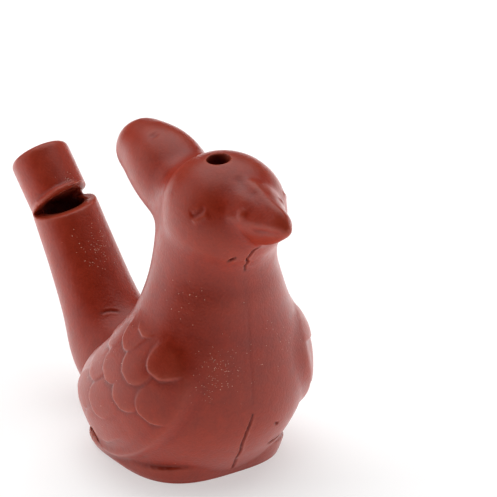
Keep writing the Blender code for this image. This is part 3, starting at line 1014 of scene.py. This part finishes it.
clay, tree, shader = new_material("red_clay")
place = make_node(tree, "ShaderNodeTexCoord", output=3)
cloud = make_node(tree, "ShaderNodeTexNoise", None, Vector=place, Scale=CLOUD_SCALE, Detail=3.0)
mottle = make_node(tree, "ShaderNodeTexNoise", None, Vector=place, Scale=MOTTLE_SCALE,
                   Detail=4.0)
grain = make_node(tree, "ShaderNodeTexNoise", None, Vector=place, Scale=GRAIN_SCALE, Detail=2.0)
ridge_field, crack_shade_mask = read_attribute(tree, "ridge"), read_attribute(tree, "crack")
tone = ((cloud - 0.5) * 0.9 + (mottle - 0.5) * 1.2 + (grain - 0.5) * 1.1 + 0.5).clipped()
colour = blend_colours(tree, tone, DEEP_RED, BRICK_RED)
# Proud edges paler: partly rubbed wear, partly painted highlight.
colour = blend_colours(tree, (ridge_field * 0.55).clipped(), colour, WEAR_AND_HIGHLIGHT)
# Painted shade: hollows darker, where shade falls in them.
colour = blend_colours(tree, (ridge_field * -0.8).clipped(), colour, PAINTED_HOLLOW_SHADE)
# Painted shade in the cracks, pits, slit, tail crease and seam.
colour = blend_colours(tree, crack_shade_mask, colour, CRACK_SHADE_COLOUR)
feed(tree, shader.inputs["Base Color"], colour)
feed(tree, shader.inputs["Roughness"],
     (ROUGHNESS + (mottle - 0.5) * 0.22 + crack_shade_mask * 0.4).clipped())
shader.inputs["Specular IOR Level"].default_value = SHEEN
rough_height = grain * 1.1 + mottle * 0.9
bump = make_node(tree, "ShaderNodeBump", None, Height=rough_height, Strength=0.50,
                 Distance=BUMP_HEIGHT)
feed(tree, shader.inputs["Normal"], bump)
clay_mesh.materials.clear()
clay_mesh.materials.append(clay)

# %% [markdown]
# ## Pale grains
# Grit from the mould and dried dust sit on the skin in patches: on the belly, on the tail and
# under the mouthpiece. They are scattered by a small node tree, thick where the skin's grains
# attribute is high, and each is a flat crumb half sunk in the clay. The tree makes its copies
# real at the end, because the export drops instances.

# %% Grain scatter
GRAIN_SIZE = 0.085
GRAIN_SEED = 7
DUST_LOW, DUST_HIGH = (0.36, 0.12, 0.07, 1), (0.62, 0.36, 0.27, 1)
DUST_SCALE, DUST_ROUGHNESS = 900.0, 0.55


def grain_tree():
    """Points over a mesh by its grains attribute, with a crumb on each."""
    made = bpy.data.node_groups.new("grain_scatter", "GeometryNodeTree")
    ports = {}
    for name, kind in (("Geometry", "NodeSocketGeometry"), ("Density", "NodeSocketFloat"),
                       ("Size", "NodeSocketFloat"), ("Seed", "NodeSocketInt"),
                       ("Material", "NodeSocketMaterial")):
        ports[name] = made.interface.new_socket(name, in_out="INPUT", socket_type=kind).identifier
    made.interface.new_socket("Geometry", in_out="OUTPUT", socket_type="NodeSocketGeometry")
    entry = made.nodes.new("NodeGroupInput")
    exit_node = made.nodes.new("NodeGroupOutput")
    given = {name: Field(made, entry.outputs[name]) for name in ports}
    amount = make_node(made, "GeometryNodeInputNamedAttribute", {"data_type": "FLOAT"},
                       Name="grains")
    scattered = make_node(made, "GeometryNodeDistributePointsOnFaces",
                          {"distribute_method": "RANDOM"}, Mesh=given["Geometry"],
                          Density=amount * given["Density"], Seed=given["Seed"])
    facing = Field(made, scattered.socket.node.outputs["Rotation"])
    crumb = make_node(made, "GeometryNodeMeshIcoSphere", None, Radius=1.0, Subdivisions=1)
    width = make_node(made, "FunctionNodeRandomValue", {"data_type": "FLOAT"}, output=1,
                      Min=0.55, Max=1.5, Seed=given["Seed"]) * given["Size"]
    shape = make_node(made, "ShaderNodeCombineXYZ", None, X=width, Y=width * 0.8, Z=width * 0.45)
    laid = make_node(made, "GeometryNodeInstanceOnPoints", None, Points=scattered, Instance=crumb,
                     Rotation=facing, Scale=shape)
    real = make_node(made, "GeometryNodeRealizeInstances", None, Geometry=laid)
    dressed = make_node(made, "GeometryNodeSetMaterial", None, Geometry=real,
                        Material=given["Material"])
    feed(made, exit_node.inputs["Geometry"], dressed)
    return made, ports


dust, dust_tree, dust_shader = new_material("pale_grit")
dust_place = make_node(dust_tree, "ShaderNodeTexCoord", output=3)
dust_tone = make_node(dust_tree, "ShaderNodeTexNoise", None, Vector=dust_place,
                      Scale=DUST_SCALE)
feed(dust_tree, dust_shader.inputs["Base Color"],
     blend_colours(dust_tree, dust_tone, DUST_LOW, DUST_HIGH))
dust_shader.inputs["Roughness"].default_value = DUST_ROUGHNESS

scatter, ports = grain_tree()
grit = bpy.data.objects.new("surface_grit", clay_mesh.copy())
bpy.context.scene.collection.objects.link(grit)
spreader = grit.modifiers.new("Scatter", "NODES")
spreader.node_group = scatter
spreader[ports["Density"]] = 1.0 / (MM * MM)
spreader[ports["Size"]] = GRAIN_SIZE * MM
spreader[ports["Seed"]] = GRAIN_SEED
spreader[ports["Material"]] = dust
applied(grit)
for face in grit.data.polygons:
    face.use_smooth = True
print("grit triangles:", len(grit.data.polygons))

# %% [markdown]
# ## Attach
# The skin stands for the machine model's single node, which is hidden. The grit is part of the
# same clay, and both ride on the root.

# %% Attach and finish
for piece in (skin, grit):
    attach(piece, "root")
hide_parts("clay_body")
